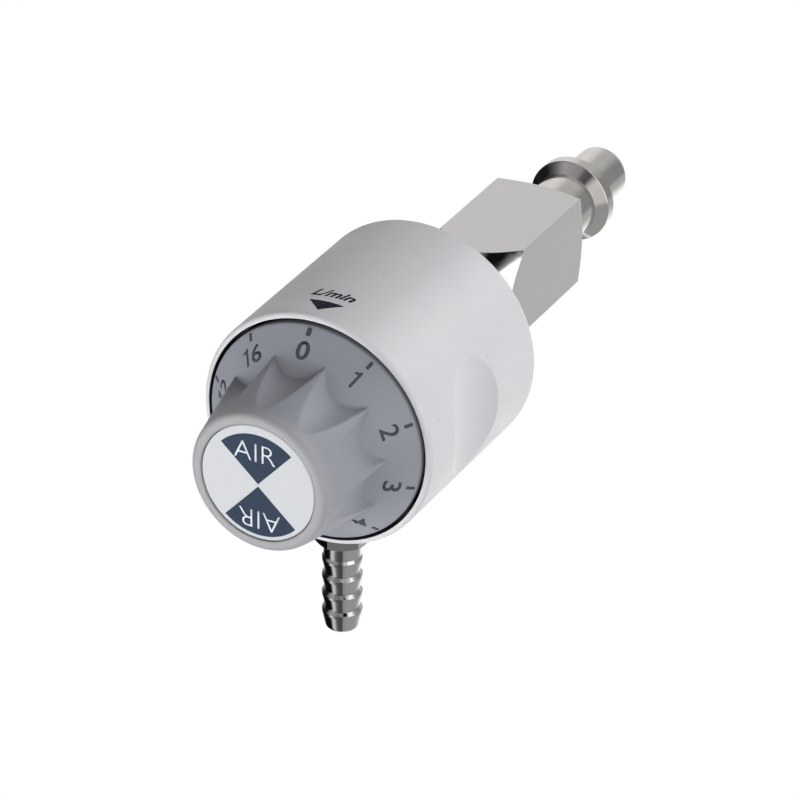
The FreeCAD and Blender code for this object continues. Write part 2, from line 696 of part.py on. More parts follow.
ring_seal("cover_oring", "sizes.groove_radius", "sizes.seal_section", f"{body_front} + sizes.seal_section")
ring_seal("spindle_oring", f"{shaft_hole} + sizes.shaft_seal_section", "sizes.shaft_seal_section", seal_y)
ring_seal("inlet_oring", "sizes.inlet_groove_radius", "sizes.seal_section",
          f"{boss_end} - sizes.seal_section")

# Spindle: turned steel, flatted where the knob, the click wheel and the orifice disc sit
spindle = part_body("spindle")
turned(spindle, "spindle_turning", [
    (spindle_front, "0"),
    (spindle_front, "sizes.spindle_radius"),
    (shoulder_front, "sizes.spindle_radius"),
    (shoulder_front, "sizes.shoulder_radius"),
    (disc_front, "sizes.shoulder_radius"),
    (disc_front, "sizes.spindle_radius"),
    (disc_rear, "sizes.spindle_radius"),
    (disc_rear, "sizes.clip_groove_radius"),
    (clip_rear, "sizes.clip_groove_radius"),
    (clip_rear, "sizes.spindle_radius"),
    (pilot_front, "sizes.spindle_radius"),
    (pilot_front, "sizes.pilot_radius"),
    (f"{pilot_front} + sizes.pilot_length", "sizes.pilot_radius"),
    (f"{pilot_front} + sizes.pilot_length", "0"),
])
for name, start, length in (("knob_flat", spindle_front, f"{wheel_rear} - {spindle_front}"),
                            ("disc_flat", disc_front, f"{pilot_front} - {disc_front}")):
    flat = sketch_on(spindle, name, "XZ_Plane", f"-{start}")
    half = "2 * sizes.spindle_radius"
    level = "sizes.spindle_radius - sizes.flat_depth"
    outline(flat, [(f"-{half}", level), (half, level), (half, half), (f"-{half}", half)])
    pocket(spindle, f"{name}_cut", flat, length)
turned(spindle, "knob_screw_thread", [
    (f"{spindle_front} - 1", "0"),
    (f"{spindle_front} - 1", "sizes.knob_screw_radius"),
    (f"{recess_floor} + sizes.knob_screw_length + sizes.screw_end_room", "sizes.knob_screw_radius"),
    (f"{recess_floor} + sizes.knob_screw_length + sizes.screw_end_room", "0"),
], kind="PartDesign::Groove")
turn_with_index(spindle)

# Orifice disc: nine calibrated holes in steps and one blank place for zero
disc = part_body("orifice_disc")
blank = sketch_on(disc, "blank", "XZ_Plane", f"-{disc_front}")
circle(blank, "0", "0", "sizes.disc_radius")
d_shape(blank)
pad(disc, "plate", blank, "sizes.disc_thickness", True)
holes = sketch_on(disc, "orifices", "XZ_Plane", f"-{disc_front}")
steps = round(number("sizes.positions"))
for step in range(1, steps):
    angle = f"180 + sizes.index_clock + {step} * 360 / sizes.positions"
    circle(holes, *clock("sizes.orifice_circle", angle),
           f"sizes.orifice_smallest + {step - 1} * sizes.orifice_step")
pocket(disc, "orifice_holes", holes, "sizes.disc_thickness")
turn_with_index(disc)

# Retaining clip of the orifice disc: flat spring clip with an open side
clip = part_body("disc_clip")
ring = sketch_on(clip, "clip_ring", "XZ_Plane", f"-{disc_rear}")
circle(ring, "0", "0", "sizes.clip_radius")
circle(ring, "0", "0", "sizes.clip_groove_radius")
pad(clip, "clip_plate", ring, "sizes.clip_thickness", True)
mouth = sketch_on(clip, "clip_mouth", "XZ_Plane", f"-{disc_rear}")
gap_half = "sizes.clip_groove_radius * sin(50)"
gap_far = "2 * sizes.clip_radius"
outline(mouth, [(f"-{gap_half}", "0"), (gap_half, "0"),
                (gap_half, f"-{gap_far}"), (f"-{gap_half}", f"-{gap_far}")])
pocket(clip, "clip_mouth_cut", mouth, "sizes.clip_thickness")
turn_with_index(clip)

# Sealing seat and its coil spring, in the pocket behind the disc
seat_seal = part_body("seat_seal")
turned(seat_seal, "seat_turning", [
    (seat_front, "sizes.seat_bore_radius"),
    (seat_front, "sizes.seat_outer_radius"),
    (seat_rear, "sizes.seat_outer_radius"),
    (seat_rear, "sizes.seat_bore_radius"),
])
seat_seal.setExpression(".Placement.Base.z", "-sizes.orifice_circle")
spring_length = f"({chamber_floor} + sizes.seat_pocket_depth - {seat_rear} - 2 * sizes.spring_wire)"
coil = doc.addObject("Part::Helix", "coil")
coil.setExpression("Height", spring_length)
coil.setExpression("Pitch", f"{spring_length} / sizes.spring_turns")
coil.setExpression("Radius", "sizes.seat_outer_radius - sizes.spring_wire - sizes.running_gap")
wire = doc.addObject("Part::Circle", "wire_section")
wire.setExpression("Radius", "sizes.spring_wire")
wire.setExpression(".Placement.Base.x", "sizes.seat_outer_radius - sizes.spring_wire - sizes.running_gap")
wire.Placement.Rotation = FreeCAD.Rotation(V(1, 0, 0), 90)
doc.recompute()
seat_spring = doc.addObject("Part::Sweep", "seat_spring")
seat_spring.Label = "seat_spring"
seat_spring.Sections = [wire]
seat_spring.Spine = (coil, ["Edge1"])
seat_spring.Solid = True
seat_spring.Frenet = True
seat_spring.Placement = FreeCAD.Placement(V(0, 0, 0), FreeCAD.Rotation(V(1, 0, 0), -90))
seat_spring.setExpression(".Placement.Base.y", f"{seat_rear} + sizes.spring_wire")
seat_spring.setExpression(".Placement.Base.z", "-sizes.orifice_circle")

# Click wheel: one notch for each place of the dial
wheel = part_body("click_wheel")
rim = sketch_on(wheel, "wheel_rim", "XZ_Plane", f"-{wheel_front}")
circle(rim, "0", "0", "sizes.wheel_radius")
d_shape(rim)
pad(wheel, "wheel_plate", rim, "sizes.wheel_thickness", True)
notch = sketch_on(wheel, "notch", "XZ_Plane", f"-{wheel_front}")
circle(notch, "0", "sizes.notch_circle", "sizes.notch_radius")
first_notch = pocket(wheel, "notch_cut", notch, "sizes.wheel_thickness")
around_y(wheel, "notches", [first_notch], "sizes.positions")
turn_with_index(wheel)

# Click spring: leaf on edge, with a rounded nose, a bent leg and a foot screwed to the cover
leaf = part_body("click_spring")
strip = sketch_on(leaf, "strip", "XZ_Plane", f"-{wheel_front}")
leaf_top = f"({leaf_z} + sizes.leaf_thickness)"
outline(strip, [("-sizes.leaf_foot", leaf_z), ("sizes.leaf_reach", leaf_z),
                ("sizes.leaf_reach", leaf_top), ("-sizes.leaf_foot", leaf_top)])
pad(leaf, "strip_pad", strip, "sizes.wheel_thickness", True)
nose = sketch_on(leaf, "nose", "XZ_Plane", f"-{wheel_front}")
circle(nose, "0", "sizes.notch_circle", "sizes.nose_radius")
pad(leaf, "nose_pad", nose, "sizes.wheel_thickness", True)
leg = sketch_on(leaf, "leg", "XZ_Plane", f"-{wheel_front}")
outline(leg, [("-sizes.leaf_foot", leaf_z), ("-sizes.leaf_foot + sizes.leg_width", leaf_z),
              ("-sizes.leaf_foot + sizes.leg_width", leaf_top), ("-sizes.leaf_foot", leaf_top)])
pad(leaf, "leg_pad", leg, f"{cover_front} - {wheel_front}", True)
foot = sketch_on(leaf, "foot", "XZ_Plane", f"-{cover_front}")
foot_left = f"({foot_x} - sizes.foot_width / 2)"
foot_right = f"({foot_x} + sizes.foot_width / 2)"
outline(foot, [(foot_left, leaf_z), (foot_right, leaf_z),
               (foot_right, f"{leaf_z} + sizes.foot_width"), (foot_left, f"{leaf_z} + sizes.foot_width")])
pad(leaf, "foot_pad", foot, "sizes.leaf_thickness")
foot_hole = sketch_on(leaf, "foot_hole", "XZ_Plane", f"sizes.leaf_thickness - {cover_front}")
circle(foot_hole, foot_x, foot_z, "sizes.click_screw_radius + sizes.running_gap")
pocket(leaf, "foot_hole_cut", foot_hole, "sizes.leaf_thickness")
turn_with_index(leaf)

click_screw = part_body("click_screw")
screw = sketch_on(click_screw, "click_shank", "XZ_Plane", f"sizes.leaf_thickness - {cover_front}")
circle(screw, foot_x, foot_z, "sizes.click_screw_radius")
pad(click_screw, "click_shank_pad", screw, "sizes.click_screw_length", True)
pan = sketch_on(click_screw, "click_head", "XZ_Plane", f"sizes.leaf_thickness - {cover_front}")
circle(pan, foot_x, foot_z, "sizes.click_screw_head")
pad(click_screw, "click_head_pad", pan, "sizes.click_screw_head / 2")
turn_with_index(click_screw)

# Dial knob: one moulding with a skirt that carries the scale and a grip with ten scoops
knob = part_body("dial_knob")
dial_edge = f"({housing_front} - sizes.dial_forward)"
skirt_slope = f"(sizes.skirt_depth / ({dial_radius} - sizes.grip_root_radius))"
grip_root_y = f"({dial_edge} - sizes.skirt_depth)"
grip_slope = (f"((sizes.grip_root_radius - sizes.grip_front_radius)"
              f" / ({grip_root_y} - {knob_front}))")
turned(knob, "grip", [
    (knob_front, "0"),
    (knob_front, "sizes.grip_front_radius"),
    (housing_front, f"sizes.grip_front_radius + {grip_slope} * ({housing_front} - {knob_front})"),
    (housing_front, "0"),
])
rounded(knob, "grip_front_edge", "sizes.knob_front_round", knob_front, "sizes.grip_front_radius")
run_out_y = f"({housing_front} - sizes.scoop_run_out)"
run_out_radius = f"(sizes.grip_front_radius + {grip_slope} * ({run_out_y} - {knob_front}))"
root_y = f"({grip_root_y} - (sizes.grip_root_radius - sizes.scoop_root_radius) * {skirt_slope})"
tilt = f"atan((sizes.scoop_root_radius - {run_out_radius}) / ({root_y} - {run_out_y}))"
scoop = sketch_on(knob, "scoop", "YZ_Plane")
front_y = f"({run_out_y} - 2)"
front_z = f"({run_out_radius} - 2 * tan({tilt}))"
rear_y = f"({housing_front} + 2)"
rear_z = f"({run_out_radius} + (sizes.scoop_run_out + 2) * tan({tilt}))"
axis_front = (f"({front_y} - sizes.scoop_radius * sin({tilt}))",
              f"({front_z} + sizes.scoop_radius * cos({tilt}))")
axis_rear = (f"({rear_y} - sizes.scoop_radius * sin({tilt}))",
             f"({rear_z} + sizes.scoop_radius * cos({tilt}))")
outline(scoop, [(front_y, front_z), (rear_y, rear_z), axis_rear, axis_front])
axis_ends = [V(*map(number, end), 0) for end in (axis_front, axis_rear)]
centre_line = scoop.addGeometry(Part.LineSegment(*axis_ends), True)
scoop.addConstraint(Sketcher.Constraint("Coincident", centre_line, 1, 3, 1))
scoop.addConstraint(Sketcher.Constraint("Coincident", centre_line, 2, 2, 1))
scoop_cut = knob.newObject("PartDesign::Groove", "scoop_cut")
scoop_cut.Profile = scoop
scoop_cut.ReferenceAxis = (scoop, ["Axis0"])
scoop_cut.Angle = 360.0
knob.Tip = scoop_cut
around_y(knob, "scoops", [scoop_cut], "sizes.positions")

skirt_core = "(sizes.scoop_root_radius - sizes.grip_wall / 2)"
turned(knob, "skirt", [
    (f"{housing_front} + sizes.dial_rear", "0"),
    (f"{housing_front} + sizes.dial_rear", dial_radius),
    (dial_edge, dial_radius),
    (f"{dial_edge} - ({dial_radius} - {skirt_core}) * {skirt_slope}", skirt_core),
    (f"{dial_edge} - ({dial_radius} - {skirt_core}) * {skirt_slope}", "0"),
])
skirt_inner = f"({dial_radius} - sizes.skirt_wall)"
cave_radius = "(sizes.scoop_root_radius - sizes.grip_wall)"
wall_rear = f"({recess_floor} + sizes.knob_wall)"
turned(knob, "cave", [
    (f"{housing_front} + sizes.dial_rear + 1", "0"),
    (f"{housing_front} + sizes.dial_rear + 1", skirt_inner),
    (dial_edge, skirt_inner),
    (f"{dial_edge} - ({skirt_inner} - {cave_radius}) * {skirt_slope}", cave_radius),
    (wall_rear, f"{run_out_radius} - sizes.grip_wall"),
    (wall_rear, "0"),
], kind="PartDesign::Groove")
turned(knob, "hub", [
    (f"{wall_rear} - 1", "0"),
    (f"{wall_rear} - 1", "sizes.hub_radius"),
    (wheel_front, "sizes.hub_radius"),
    (wheel_front, "0"),
])
hub_bore = sketch_on(knob, "hub_bore", "XZ_Plane", f"-{wheel_front}")
d_shape(hub_bore)
pocket(knob, "hub_bore_cut", hub_bore, f"{wheel_front} - {hub_front}", True)
knob_screw_hole = "(sizes.knob_screw_radius + sizes.label_gap)"
turned(knob, "label_recess", [
    (f"{knob_front} - 1", "0"),
    (f"{knob_front} - 1", "sizes.label_radius + sizes.label_gap"),
    (recess_floor, "sizes.label_radius + sizes.label_gap"),
    (recess_floor, "sizes.knob_screw_head"),
    (f"{recess_floor} + sizes.knob_screw_head - {knob_screw_hole}", knob_screw_hole),
    (f"{hub_front} + 1", knob_screw_hole),
    (f"{hub_front} + 1", "0"),
], kind="PartDesign::Groove")
rounded(knob, "dial_edge_rounding", "sizes.dial_edge_round", dial_edge, dial_radius)
turn_with_index(knob)

# Knob screw: countersunk, under the label
knob_screw = part_body("knob_screw")
turned(knob_screw, "knob_screw_turning", [
    (recess_floor, "0"),
    (recess_floor, "sizes.knob_screw_head"),
    (f"{recess_floor} + sizes.knob_screw_head - sizes.knob_screw_radius", "sizes.knob_screw_radius"),
    (f"{recess_floor} + sizes.knob_screw_length", "sizes.knob_screw_radius"),
    (f"{recess_floor} + sizes.knob_screw_length", "0"),
])
drive = sketch_on(knob_screw, "knob_screw_drive", "XZ_Plane", f"-{recess_floor}")
hexagon(drive, "sizes.knob_screw_socket")
pocket(knob_screw, "knob_screw_socket", drive, "sizes.knob_screw_radius")
turn_with_index(knob_screw)

# Gas label: white disc with two dark quadrants let into its face
label = part_body("gas_label")
face = sketch_on(label, "label_disc", "XZ_Plane", f"-{recess_floor}")
circle(face, "0", "0", "sizes.label_radius")
pad(label, "label_plate", face, "sizes.label_thickness")
label_front = f"({recess_floor} - sizes.label_thickness)"
rounded(label, "label_edge", "sizes.label_edge_round", label_front, "sizes.label_radius")
fields = sketch_on(label, "label_fields", "XZ_Plane", f"sizes.label_thickness - {recess_floor}")
fields.setExpression("AttachmentOffset.Base.y", "-sizes.field_drop")
quadrant(fields, 1)
quadrant(fields, -1)
pocket(label, "label_field_cut", fields, "sizes.field_depth")
turn_with_index(label)

quadrants = part_body("label_quadrants")
quadrants.AllowCompound = True
for name, way in (("upper_field", 1), ("lower_field", -1)):
    field = sketch_on(quadrants, name, "XZ_Plane", f"sizes.label_thickness - {recess_floor}")
    field.setExpression("AttachmentOffset.Base.y", "-sizes.field_drop")
    quadrant(field, way)
    pad(quadrants, f"{name}_pad", field, "sizes.field_depth", True)
turn_with_index(quadrants)

# Lock washer and nut: hold the housing against the valve body
washer = part_body("lock_washer")
turned(washer, "washer_turning", [
    (housing_rear, "sizes.boss_radius + sizes.slip_gap"),
    (housing_rear, "sizes.washer_radius"),
    (f"{housing_rear} + sizes.washer_thickness", "sizes.washer_radius"),
    (f"{housing_rear} + sizes.washer_thickness", "sizes.boss_radius + sizes.slip_gap"),
])
nut = part_body("lock_nut")
nut_front = f"({housing_rear} + sizes.washer_thickness)"
nut_rear = f"({nut_front} + sizes.nut_thickness)"
flats = sketch_on(nut, "nut_flats", "XZ_Plane", f"-{nut_front}")
hexagon(flats, "sizes.nut_width")
circle(flats, "0", "0", "sizes.boss_radius")
pad(nut, "nut_blank", flats, "sizes.nut_thickness", True)
hexagon_ends_turned(nut, "nut_corners", nut_front, nut_rear, "sizes.nut_width")

# Hose tail: turned in one piece with its hexagon, screwed into the valve body from below
nozzle = part_body("hose_nozzle")
thread_top = f"(sizes.nozzle_thread_length - {nozzle_seat} - sizes.screw_end_room)"
collar_top = f"(-{nozzle_seat} - sizes.nozzle_washer)"
hex_top = "(-sizes.housing_radius - sizes.hex_gap)"
hex_end = f"({hex_top} - sizes.hex_length)"
first_crest = f"({hex_end} - sizes.tail_length)"
profile = [
    (thread_top, "sizes.nozzle_bore_radius"),
    (thread_top, "sizes.nozzle_thread_radius"),
    (collar_top, "sizes.nozzle_thread_radius"),
    (collar_top, "sizes.nozzle_collar_radius"),
    (hex_top, "sizes.nozzle_collar_radius"),
    (hex_top, "sizes.hex_width / 2"),
    (hex_end, "sizes.hex_width / 2"),
    (hex_end, "sizes.tail_radius"),
    (f"{first_crest} + sizes.barb_back", "sizes.tail_radius"),
]
for barb in range(round(number("sizes.barb_count"))):
    crest = f"({first_crest} - {barb} * sizes.barb_pitch)"
    profile += [
        (crest, "sizes.barb_radius"),
        (f"{crest} - sizes.barb_land", "sizes.barb_radius"),
        (f"{crest} - sizes.barb_pitch + sizes.barb_back", "sizes.root_radius"),
    ]
nose_end = f"({first_crest} - sizes.barb_count * sizes.barb_pitch + sizes.barb_back - sizes.nose_length)"
profile += [
    (nose_end, "sizes.nose_end_radius"),
    (nose_end, "sizes.nozzle_bore_radius"),
]
turned(nozzle, "nozzle_turning", profile, axis="V_Axis")
tail_hexagon = sketch_on(nozzle, "tail_hexagon", "XY_Plane", hex_top)
hexagon(tail_hexagon, "sizes.hex_width")
circle(tail_hexagon, "0", "0", "sizes.nozzle_bore_radius")
pad(nozzle, "tail_hexagon_pad", tail_hexagon, "sizes.hex_length", True)
hexagon_ends_turned(nozzle, "tail_corners", hex_top, hex_end, "sizes.hex_width", "V_Axis")
rounded(nozzle, "flare", "sizes.flare_radius", hex_end, "sizes.tail_radius", "z")
rounded(nozzle, "nose", "sizes.nose_round", nose_end, "sizes.nose_end_radius", "z")
nozzle.setExpression(".Placement.Base.y", nozzle_y)

sealing_washer = part_body("nozzle_washer")
turned(sealing_washer, "sealing_washer_turning", [
    (f"-{nozzle_seat}", "sizes.nozzle_thread_radius"),
    (f"-{nozzle_seat}", "sizes.nozzle_collar_radius"),
    (collar_top, "sizes.nozzle_collar_radius"),
    (collar_top, "sizes.nozzle_thread_radius"),
], axis="V_Axis")
sealing_washer.setExpression(".Placement.Base.y", nozzle_y)

PARTS = [probe, block, inlet_filter, housing, valve_body, cover, cover_screws, spindle, disc, clip,
         seat_seal, seat_spring, wheel, leaf, click_screw, knob, knob_screw, label, quadrants,
         washer, nut, nozzle, sealing_washer] + SEALS

doc.recompute()
for thing in doc.Objects:
    if "Invalid" in thing.State or "Error" in thing.State:
        raise RuntimeError(f"{thing.Name} failed: {thing.State}")
for piece in PARTS:
    if piece.Shape.isNull() or not piece.Shape.isValid() or not piece.Shape.Solids:
        raise RuntimeError(f"{piece.Label} has no valid solid")

os.makedirs("parts", exist_ok=True)
for piece in PARTS:
    piece.Shape.exportStep(f"parts/{piece.Label}.step")
    print(piece.Label, len(piece.Shape.Solids), round(piece.Shape.Volume, 2))
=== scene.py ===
"""Wall-outlet flowmeter for medical air, dressed over its CAD frame.

The dial faces -Y, the plug-in probe points to +Y and the hose tail points down. The sections follow
the flowmeter as it is put together: the room it stands in, then housing, knob, scale, gas label, hose
tail, block, probe and the parts inside.
"""
import bpy
import math
from mathutils import Matrix, Vector


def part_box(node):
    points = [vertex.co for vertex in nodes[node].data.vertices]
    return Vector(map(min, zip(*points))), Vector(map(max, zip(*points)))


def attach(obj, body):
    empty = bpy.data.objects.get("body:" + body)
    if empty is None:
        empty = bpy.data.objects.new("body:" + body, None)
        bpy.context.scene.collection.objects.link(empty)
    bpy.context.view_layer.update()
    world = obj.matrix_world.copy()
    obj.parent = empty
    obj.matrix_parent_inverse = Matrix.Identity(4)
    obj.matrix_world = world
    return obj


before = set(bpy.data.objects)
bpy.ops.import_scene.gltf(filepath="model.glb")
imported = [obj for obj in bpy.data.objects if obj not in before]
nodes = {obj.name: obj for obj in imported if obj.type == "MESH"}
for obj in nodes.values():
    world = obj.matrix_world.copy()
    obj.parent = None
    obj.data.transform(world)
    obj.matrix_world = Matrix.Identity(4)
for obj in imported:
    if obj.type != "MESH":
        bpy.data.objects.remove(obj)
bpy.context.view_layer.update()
bpy.context.scene.view_settings.view_transform = "Standard"

# Camera: a long lens that looks down at the dial from the front right, a little under a metre away
# and very slightly rolled, with the whole meter across the middle of the picture.
MM = 0.001
TURN = math.radians(28.178)
TILT = math.radians(30.285)
ROLL = math.radians(0.593)
DISTANCE = 0.9303
DIAL_MIDDLE = Vector((0.0, -115.2, 0.0)) * MM
camera_data = bpy.data.cameras.new("camera")
camera_data.lens = 209.76
camera_data.sensor_width = 36.0
camera_data.clip_start = 0.05
camera_data.clip_end = 20.0
camera = bpy.data.objects.new("camera", camera_data)
bpy.context.scene.collection.objects.link(camera)
bpy.context.scene.camera = camera
back = Vector((math.sin(TURN) * math.cos(TILT), -math.cos(TURN) * math.cos(TILT), math.sin(TILT)))
right = Vector((math.cos(TURN), math.sin(TURN), 0.0))
up = back.cross(right)
aim = DIAL_MIDDLE + (right * 16.69 + up * 6.27) * MM
view_right = right * math.cos(ROLL) + up * math.sin(ROLL)
view_up = up * math.cos(ROLL) - right * math.sin(ROLL)
camera.matrix_world = Matrix.Translation(aim + back * DISTANCE) @ Matrix(
    (view_right, view_up, back)).transposed().to_4x4()

# Room: white to the camera, with a low even light on everything else. Metal mirrors the studio that
# stands round the meter: a white box on its right, a black wall on its left, pale paper behind it and
# mid greys in front, each at the level of the meter, near the floor and near the ceiling.
ROOM_LIGHT = 0.08
STUDIO_TINT = (1.0, 0.98, 0.96)
STUDIO_TONES = {
    "level": (
        (-180, 0.58), (-168, 0.60), (-158, 0.80), (-146, 0.90), (-136, 0.60), (-122, 0.30), (-110, 0.14),
        (-98, 0.02), (-76, 0.01), (-66, 0.12), (-54, 0.30), (-36, 0.37), (-4, 0.33), (7, 0.12),
        (20, 0.10), (29, 0.22), (37, 0.74), (54, 0.66), (60, 1.5), (92, 1.5), (98, 0.60),
        (106, 0.36), (148, 0.30), (156, 0.46), (168, 0.58), (180, 0.58)),
    "floor": (
        (-180, 1.20), (-160, 1.05), (-146, 0.80), (-136, 0.26), (-122, 0.14), (-112, 0.005),
        (-62, 0.005), (-50, 0.12), (-44, 0.74), (-27, 0.66), (-17, 0.24), (-4, 0.11), (25, 0.07),
        (36, 0.32), (60, 0.40), (100, 0.40), (128, 0.40), (142, 0.50), (152, 0.53), (164, 0.88),
        (180, 1.20)),
    "ceiling": (
        (-180, 0.52), (-150, 0.52), (-120, 0.30), (-90, 0.05), (-76, 0.12), (-66, 0.25), (-45, 0.42),
        (-20, 0.36), (2, 0.32), (12, 0.13), (26, 0.09), (34, 0.005), (64, 0.005), (72, 0.90),
        (84, 1.4), (100, 1.2), (116, 0.38), (148, 0.40), (168, 0.50), (180, 0.52))}


def add(tree, kind, links=(), **settings):
    """A node in a tree with its settings, and the sockets or values that feed its inputs."""
    node = tree.nodes.new(kind)
    for key, value in settings.items():
        setattr(node, key, value)
    for key, source in links:
        if isinstance(source, bpy.types.NodeSocket):
            tree.links.new(source, node.inputs[key])
        else:
            node.inputs[key].default_value = source
    return node


world = bpy.data.worlds.new("room")
bpy.context.scene.world = world
world.use_nodes = True
tree = world.node_tree
tree.nodes.clear()
parts = add(tree, "ShaderNodeSeparateXYZ", [
    ("Vector", add(tree, "ShaderNodeTexCoord").outputs["Generated"])])
forward = add(tree, "ShaderNodeMath", [(0, parts.outputs["Y"]), (1, -1.0)], operation="MULTIPLY")
compass = add(tree, "ShaderNodeMath", [(0, parts.outputs["X"]), (1, forward.outputs[0])],
              operation="ARCTAN2")
around = add(tree, "ShaderNodeMapRange", [("Value", compass.outputs[0]), ("From Min", -math.pi),
                                          ("From Max", math.pi)])
bands = {}
for band, stops in STUDIO_TONES.items():
    ramp = add(tree, "ShaderNodeValToRGB", [("Fac", around.outputs["Result"])])
    while len(ramp.color_ramp.elements) < len(stops):
        ramp.color_ramp.elements.new(0.5)
    for element, (degrees, tone) in zip(ramp.color_ramp.elements, stops):
        element.position = (degrees + 180) / 360
        element.color = (*(tone * share for share in STUDIO_TINT), 1.0)
    bands[band] = ramp.outputs["Color"]
studio = bands["floor"]
for band, low, high in (("level", -0.30, -0.12), ("ceiling", 0.57, 0.63)):
    rise = add(tree, "ShaderNodeMapRange", [("Value", parts.outputs["Z"]), ("From Min", low),
                                            ("From Max", high)], interpolation_type="SMOOTHSTEP")
    studio = add(tree, "ShaderNodeMix", [(0, rise.outputs["Result"]), (6, studio), (7, bands[band])],
                 data_type="RGBA").outputs[2]
mirrored = add(tree, "ShaderNodeBackground", [("Color", studio)])
lit = add(tree, "ShaderNodeBackground", [("Strength", ROOM_LIGHT)])
seen = add(tree, "ShaderNodeBackground", [("Color", (1.0, 1.0, 1.0, 1.0))])
path = add(tree, "ShaderNodeLightPath")
in_metal = add(tree, "ShaderNodeMixShader", [("Fac", path.outputs["Is Glossy Ray"]),
                                             (1, lit.outputs["Background"]),
                                             (2, mirrored.outputs["Background"])])
to_camera = add(tree, "ShaderNodeMixShader", [("Fac", path.outputs["Is Camera Ray"]),
                                              (1, in_metal.outputs["Shader"]),
                                              (2, seen.outputs["Background"])])
add(tree, "ShaderNodeOutputWorld", [("Surface", to_camera.outputs["Shader"])])

# Lamps: soft boxes on the right, one beside the camera, one low on the left, one behind and one below,
# each given by its place and size in metres and its watts. Metal doesn't mirror them, because the
# studio round the meter already holds the boxes that show in it.
LAMPS = (
    ("lamp_right", (0.75, -0.85, 0.02), 0.8, 5.3),
    ("lamp_side", (1.05, -0.25, 0.05), 0.8, 3.0),
    ("lamp_front", (-0.20, -1.12, 0.22), 0.6, 4.2),
    ("lamp_left", (-0.65, -0.85, -0.36), 0.6, 9.3),
    ("lamp_behind", (0.50, 0.50, 0.60), 0.6, 7.4),
    ("lamp_below", (0.50, 0.30, -0.80), 0.6, 2.3))
for name, place, size, watts in LAMPS:
    light = bpy.data.lights.new(name, "AREA")
    light.shape = "SQUARE"
    light.size = size
    light.energy = watts
    lamp = bpy.data.objects.new(name, light)
    bpy.context.scene.collection.objects.link(lamp)
    lamp.location = place
    lamp.visible_glossy = False
    lamp.rotation_euler = (Vector(place) - aim).to_track_quat("Z", "Y").to_euler()

# Floor: a plain white sweep well below the meter, which is held by its probe in the wall. It is white
# to the camera, so that it runs into the wall, and metal doesn't mirror it.
FLOOR_HEIGHT = -1.2
FLOOR_SIZE = 6.0
bpy.ops.object.select_all(action="DESELECT")
bpy.ops.mesh.primitive_plane_add(size=FLOOR_SIZE, location=(0.0, 0.0, FLOOR_HEIGHT))
floor = bpy.context.object
floor.name = "floor"
bpy.ops.object.transform_apply(location=True, rotation=True, scale=True)
paint = bpy.data.materials.new("floor_white")
paint.use_nodes = True
tree = paint.node_tree
shader = tree.nodes["Principled BSDF"]
shader.inputs["Base Color"].default_value = (0.9, 0.9, 0.9, 1.0)
shader.inputs["Roughness"].default_value = 0.8
glow = add(tree, "ShaderNodeEmission")
path = add(tree, "ShaderNodeLightPath")
swept = add(tree, "ShaderNodeMixShader", [("Fac", path.outputs["Is Camera Ray"]),
                                          (1, shader.outputs["BSDF"]), (2, glow.outputs["Emission"])])
tree.links.new(swept.outputs["Shader"], tree.nodes["Material Output"].inputs["Surface"])
floor.data.materials.append(paint)
floor.visible_glossy = False

# Housing: injection-moulded pale grey ABS, spark-eroded to a fine satin, closed at the rear and with a
# thumb dish in each side. The lock nut behind it holds it on the valve body. The wall of its mouth,
# behind the gap round the knob, is painted near-black: painted shade for the deep, unlit gap.


def group(name, inputs, outputs):
    """A new shader node group with float or vector inputs and its outputs."""
    made = bpy.data.node_groups.new(name, "ShaderNodeTree")
    for label, kind, value in inputs:
        socket = made.interface.new_socket(name=label, in_out="INPUT", socket_type=kind)
        if value is not None:
            socket.default_value = value
    for label, kind in outputs:
        made.interface.new_socket(name=label, in_out="OUTPUT", socket_type=kind)
    return made, made.nodes.new("NodeGroupInput"), made.nodes.new("NodeGroupOutput")


def material(name, colour, roughness, metallic=0.0):
    """A material whose Principled shader has its plain values set, with Object coordinates at hand."""
    made = bpy.data.materials.new(name)
    made.use_nodes = True
    shader = made.node_tree.nodes["Principled BSDF"]
    shader.inputs["Base Color"].default_value = (*colour, 1.0)
    shader.inputs["Roughness"].default_value = roughness
    shader.inputs["Metallic"].default_value = metallic
    where = add(made.node_tree, "ShaderNodeTexCoord").outputs["Object"]
    return made, made.node_tree, shader, where


def tint(tree, shader, mask, low, high):
    """Colour that runs between two tones with a mask."""
    mixed = add(tree, "ShaderNodeMix", [(0, mask), (6, (*low, 1.0)), (7, (*high, 1.0))],
                data_type="RGBA")
    tree.links.new(mixed.outputs[2], shader.inputs["Base Color"])


def stain(tree, shader, mask, colour):
    """Another colour laid over a tinted one where a mask says."""
    under = shader.inputs["Base Color"].links[0].from_socket
    mixed = add(tree, "ShaderNodeMix", [(0, mask), (6, under), (7, (*colour, 1.0))], data_type="RGBA")
    tree.links.new(mixed.outputs[2], shader.inputs["Base Color"])


def vary(tree, socket, mask, low, high):
    """A value that runs between two levels with a mask."""
    spread = add(tree, "ShaderNodeMapRange", [("Value", mask), ("To Min", low), ("To Max", high)])
    tree.links.new(spread.outputs["Result"], socket)


def relief(tree, shader, height, depth, distance, normal=None):
    """Bump of a given depth on the shader's normal."""
    bump = add(tree, "ShaderNodeBump", [("Height", height), ("Strength", depth), ("Distance", distance)])
    if normal is not None:
        tree.links.new(normal, bump.inputs["Normal"])
    tree.links.new(bump.outputs["Normal"], shader.inputs["Normal"])


def wear(node, finish):
    """Give a CAD node its finish."""
    thing = nodes[node]
    thing.data.materials.clear()
    thing.data.materials.append(finish)


